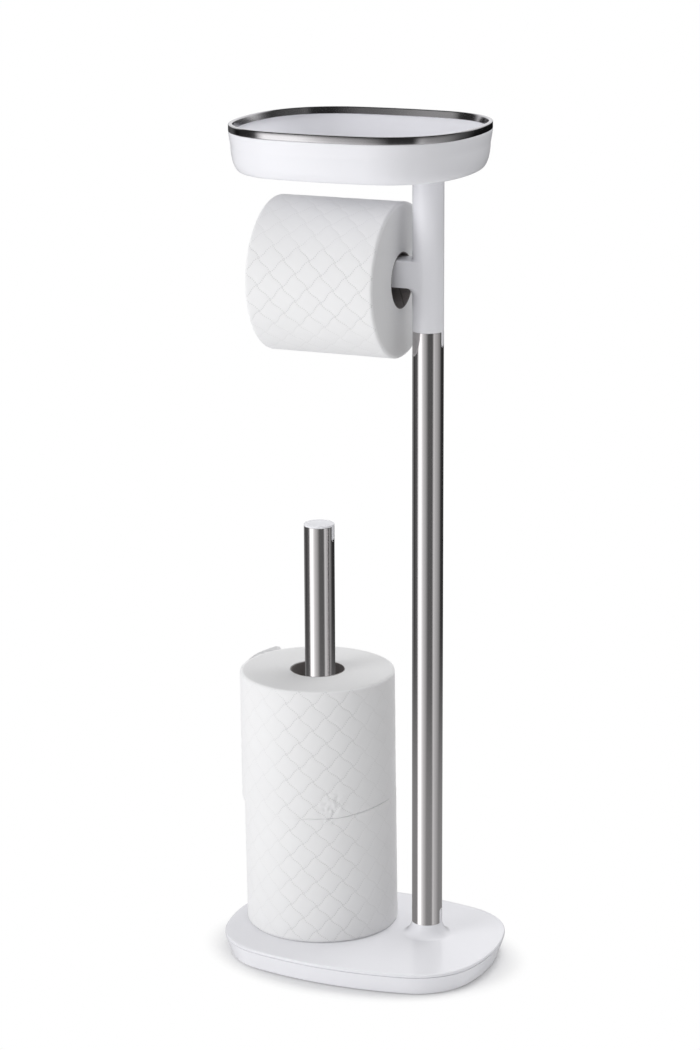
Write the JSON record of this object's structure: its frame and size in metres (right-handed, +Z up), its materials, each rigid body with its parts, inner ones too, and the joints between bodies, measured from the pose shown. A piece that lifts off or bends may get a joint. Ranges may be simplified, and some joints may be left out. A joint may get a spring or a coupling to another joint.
{
  "type": "toilet roll storage holder",
  "caption": "Free-standing toilet roll holder: weighted base, steel post with a side arm for the roll in use, upright spindle for spare rolls and a steel-rimmed tray on top.",
  "frame": {"origin": "centre of the base's footprint, on the floor under the feet", "axes": "+Z up along the post, +Y to the back, +X to the side of the post; the roll arm points along -X"},
  "size_m": [0.234, 0.179, 0.704],
  "materials": {
    "white_plastic": "gloss white moulding",
    "tube_steel": "brushed along the tube",
    "rim_steel": "bright, brushed round the rim",
    "weight_steel": "black painted plate",
    "zinc_steel": "zinc plated",
    "insert_brass": "plain",
    "foot_rubber": "matt",
    "card": "grey card",
    "paper": "soft embossed tissue"
  },
  "bodies": {
    "stand": {"base_cover": "white_plastic", "base_pan": "white_plastic", "ballast_plate": "weight_steel", "base_feet": "foot_rubber", "base_screws": "zinc_steel", "post_tube": "tube_steel", "spindle_tube": "tube_steel", "post_rod": "zinc_steel", "spindle_rod": "zinc_steel", "rod_washers": "zinc_steel", "rod_nuts": "zinc_steel", "rod_inserts": "insert_brass", "spindle_cap": "white_plastic", "head_arm": "white_plastic", "arm_end_cap": "white_plastic", "tray_shell": "white_plastic", "tray_rim": "rim_steel", "tray_screws": "zinc_steel"},
    "arm_roll": {"arm_roll_core": "card", "arm_roll_paper": "paper"},
    "lower_roll": {"lower_roll_core": "card", "lower_roll_paper": "paper"},
    "upper_roll": {"upper_roll_core": "card", "upper_roll_paper": "paper"}
  },
  "joints": [
    {"name": "arm_roll_spin", "type": "hinge", "parent": "stand", "child": "arm_roll", "pos_m": [-0.026, 0.0127, 0.57643], "axis": [1, 0, 0], "continuous": true},
    {"name": "lower_roll_lift", "type": "slide", "parent": "stand", "child": "lower_roll", "axis": [0, 0, 1], "range_m": [0, 0.025]},
    {"name": "upper_roll_lift", "type": "slide", "parent": "lower_roll", "child": "upper_roll", "axis": [0, 0, 1], "range_m": [0, 0.24]}
  ]
}
